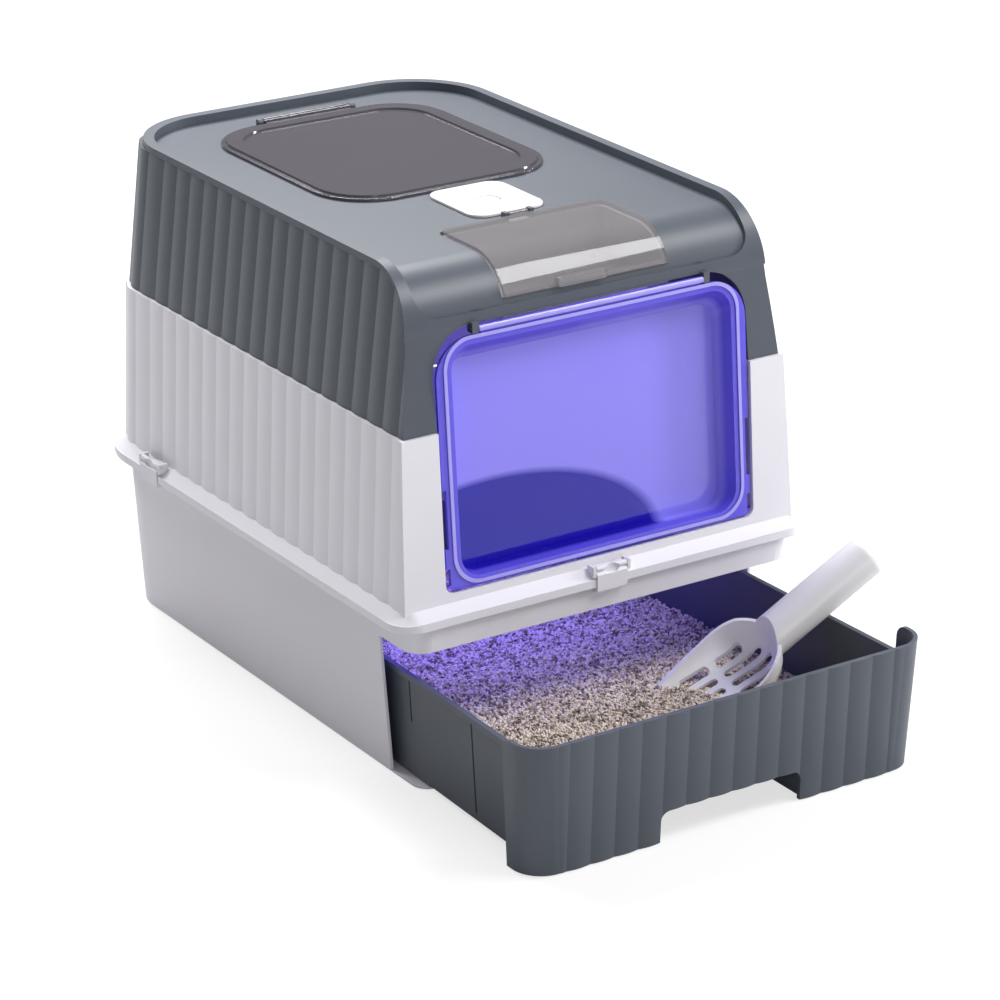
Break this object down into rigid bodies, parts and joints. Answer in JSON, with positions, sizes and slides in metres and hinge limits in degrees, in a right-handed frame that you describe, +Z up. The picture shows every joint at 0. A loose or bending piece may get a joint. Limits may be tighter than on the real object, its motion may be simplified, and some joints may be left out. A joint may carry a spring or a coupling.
{
  "type": "drawer litter box",
  "caption": "Enclosed cat litter box with a hinged clear front door, a top exit lid, a storage pocket, a deodorizer module, a slide-out litter drawer and a slotted scoop.",
  "frame": {"origin": "middle of the housing's base, on the floor", "axes": "+Z up; -Y towards the front door and the way the drawer slides out; +X to the right seen from the front"},
  "size_m": [0.435, 0.7259, 0.4395],
  "materials": {
    "slate_plastic": "satin injection-moulded polypropylene, slate grey",
    "white_plastic": "satin injection-moulded polypropylene, cool white",
    "smoky_clear": "polished smoke-tinted clear polystyrene",
    "violet_clear": "polished clear polystyrene that shows violet from the light inside",
    "white_gloss": "polished white ABS",
    "steel_pin": "drawn steel rod",
    "circuit_board": "green lacquered glass-epoxy board",
    "cell_wrap": "blue shrink film over a flat rechargeable cell",
    "litter": "loose beige clay granules, matte"
  },
  "bodies": {
    "housing": {"base_tub": "white_plastic", "middle_shell": "white_plastic", "hood": "slate_plastic", "lid_pin": "steel_pin", "storage_bin": "white_plastic", "storage_pin": "steel_pin", "deodorizer_case": "white_gloss", "deodorizer_base": "white_gloss", "deodorizer_board": "circuit_board", "deodorizer_cell": "cell_wrap", "door_pin": "steel_pin"},
    "lid": {"top_lid": "smoky_clear"},
    "cover": {"storage_cover": "smoky_clear"},
    "button": {"deodorizer_button": "white_gloss"},
    "door": {"front_door": "violet_clear"},
    "drawer": {"drawer_tray": "slate_plastic", "drawer_panel": "slate_plastic", "litter_bed": "litter"},
    "scoop": {"scoop": "white_plastic"},
    "clip_front": {"rim_clip_front": "white_plastic"},
    "clip_back": {"rim_clip_back": "white_plastic"},
    "clip_left": {"rim_clip_left": "white_plastic"},
    "clip_right": {"rim_clip_right": "white_plastic"}
  },
  "joints": [
    {"name": "drawer_slide", "type": "slide", "parent": "housing", "child": "drawer", "axis": [0, -1, 0], "range_m": [-0.176, 0]},
    {"name": "scoop_lift", "type": "slide", "parent": "housing", "child": "scoop", "axis": [0.35, -0.4, 0.847], "range_m": [0, 0.396]},
    {"name": "door_hinge", "type": "hinge", "parent": "housing", "child": "door", "pos_m": [0, -0.2416, 0.3856], "axis": [-1, 0, 0], "range_deg": [0, 85]},
    {"name": "lid_hinge", "type": "hinge", "parent": "housing", "child": "lid", "pos_m": [0, 0.2145, 0.436], "axis": [-1, 0, 0], "range_deg": [0, 95]},
    {"name": "cover_hinge", "type": "hinge", "parent": "housing", "child": "cover", "pos_m": [0, -0.1318, 0.4342], "axis": [-1, 0, 0], "range_deg": [0, 80]},
    {"name": "button_press", "type": "slide", "parent": "housing", "child": "button", "axis": [0, 0, -1], "range_m": [0, 0.002], "stiffness_N_per_m": 400},
    {"name": "clip_front_hinge", "type": "hinge", "parent": "housing", "child": "clip_front", "pos_m": [0, -0.2712, 0.1645], "axis": [-1, 0, 0], "range_deg": [0, 30]},
    {"name": "clip_back_hinge", "type": "hinge", "parent": "housing", "child": "clip_back", "pos_m": [0, 0.2722, 0.1645], "axis": [1, 0, 0], "range_deg": [0, 30]},
    {"name": "clip_left_hinge", "type": "hinge", "parent": "housing", "child": "clip_left", "pos_m": [-0.2046, 0.15, 0.1645], "axis": [0, 1, 0], "range_deg": [0, 30]},
    {"name": "clip_right_hinge", "type": "hinge", "parent": "housing", "child": "clip_right", "pos_m": [0.2046, 0.15, 0.1645], "axis": [0, -1, 0], "range_deg": [0, 30]}
  ],
  "couplings": [
    {"joint": "scoop_lift", "follows": "drawer_slide", "ratio": -2.25}
  ]
}
